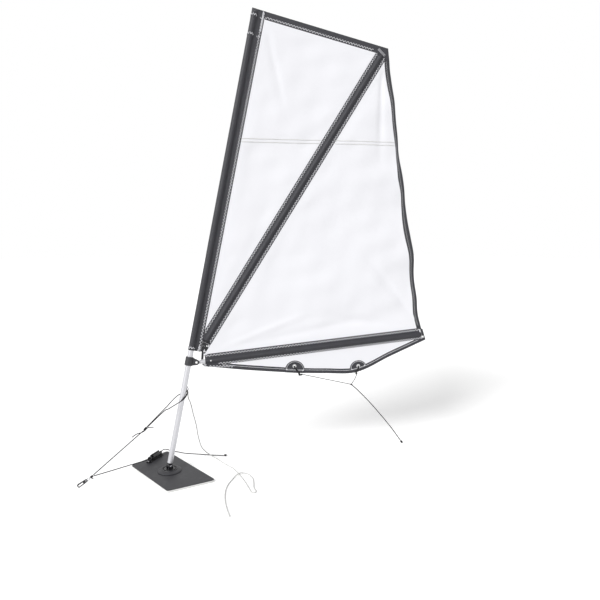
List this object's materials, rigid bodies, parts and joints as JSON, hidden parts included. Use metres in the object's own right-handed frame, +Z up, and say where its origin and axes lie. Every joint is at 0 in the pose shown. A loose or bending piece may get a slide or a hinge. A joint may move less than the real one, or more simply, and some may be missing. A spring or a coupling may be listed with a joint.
{
  "type": "canoe sail",
  "caption": "Sprit sail on a raked mast that folds on a deck plate, with a lifting boom, stay, jamming cleat and sheet, for a canoe.",
  "frame": {"origin": "on the underside of the foam pad, below the middle of the mast foot", "axes": "+Z up, +X aft along the boat, +Y to starboard"},
  "size_m": [1.5506, 0.8793, 2.1502],
  "materials": {
    "foam": "closed-cell foam, matt",
    "plate": "satin sheet",
    "black_plastic": "moulded, satin",
    "gloss_black": "moulded, glossy",
    "white_plastic": "moulded, smooth",
    "pale_plastic": "moulded, satin",
    "steel": "stainless, satin",
    "eyelet": "nickel plated, bright",
    "aluminium": "anodised, satin",
    "black_cloth": "woven sailcloth, matt",
    "white_cloth": "woven sailcloth, crisp",
    "black_cord": "braided",
    "white_cord": "braided"
  },
  "bodies": {
    "root": {"foam_pad": "foam", "base_plate": "plate", "foot_bolt": "steel", "foot_flange": "black_plastic", "foot_fork": "gloss_black", "fold_pin": "steel", "fold_nut": "steel", "cleat_body": "gloss_black", "cleat_screw_fore": "steel", "cleat_screw_aft": "steel", "control_line": "black_cord", "control_knot": "black_cord", "bow_knot": "black_cord", "bow_ring": "steel", "snap_hook": "gloss_black", "forestay": "black_cord", "white_cord": "white_cord"},
    "mast": {"mast_plug": "black_plastic", "mast_lower_tube": "aluminium", "mast_upper_tube": "aluminium", "mast_cap": "black_plastic", "stay_eye": "steel", "adjuster_knot": "black_cord", "adjuster_tail": "black_cord", "stay_loop": "black_cord", "stay_sleeve": "black_cloth", "white_knot": "white_cord"},
    "sail": {"collar": "black_plastic", "gooseneck_pin": "white_plastic", "luff_sleeve": "black_cloth", "sprit_sleeve": "black_cloth", "sprit_tube": "aluminium", "sprit_cap": "black_plastic", "heel_patch": "black_cloth", "head_band": "black_cloth", "leech_band": "black_cloth", "upper_panel": "white_cloth", "leech_panel": "white_cloth", "tack_strap": "black_cloth"},
    "boom": {"boom_end": "pale_plastic", "boom_tube": "aluminium", "boom_sleeve": "black_cloth", "clew_eyelet": "eyelet", "foot_band": "black_cloth", "foot_panel": "white_cloth", "fore_patch": "black_cloth", "aft_patch": "black_cloth", "fore_eyelet": "eyelet", "aft_eyelet": "eyelet", "fore_lashing": "black_cord", "aft_lashing": "black_cord", "fore_knot": "black_cord", "aft_knot": "black_cord", "bridle_fore_leg": "black_cord", "bridle_knot": "black_cord", "bridle_aft_leg": "black_cord", "sheet": "black_cord", "sheet_knot": "black_cord"},
    "gate": {"hook_gate": "black_plastic"}
  },
  "joints": [
    {"name": "mast_fold", "type": "hinge", "parent": "root", "child": "mast", "pos_m": [0, 0, 0.0344], "axis": [0, 1, 0], "range_deg": [-60, 0], "deforming": ["forestay", "white_cord"]},
    {"name": "sail_swing", "type": "hinge", "parent": "mast", "child": "sail", "pos_m": [0, 0, 0.0344], "axis": [0.2351, 0, 0.972], "range_deg": [-60, 120]},
    {"name": "boom_lift", "type": "hinge", "parent": "sail", "child": "boom", "pos_m": [0.14161, -0.017, 0.4945], "axis": [-0.486, -0.866, 0.1176], "range_deg": [0, 12], "deforming": ["leech_panel", "leech_band", "tack_strap", "heel_patch"]},
    {"name": "hook_gate", "type": "hinge", "parent": "root", "child": "gate", "pos_m": [-0.38435, 0, 0.06806], "axis": [0, 1, 0], "range_deg": [0, 22], "stiffness_Nm_per_rad": 0.02, "springref_deg": -17.19}
  ]
}
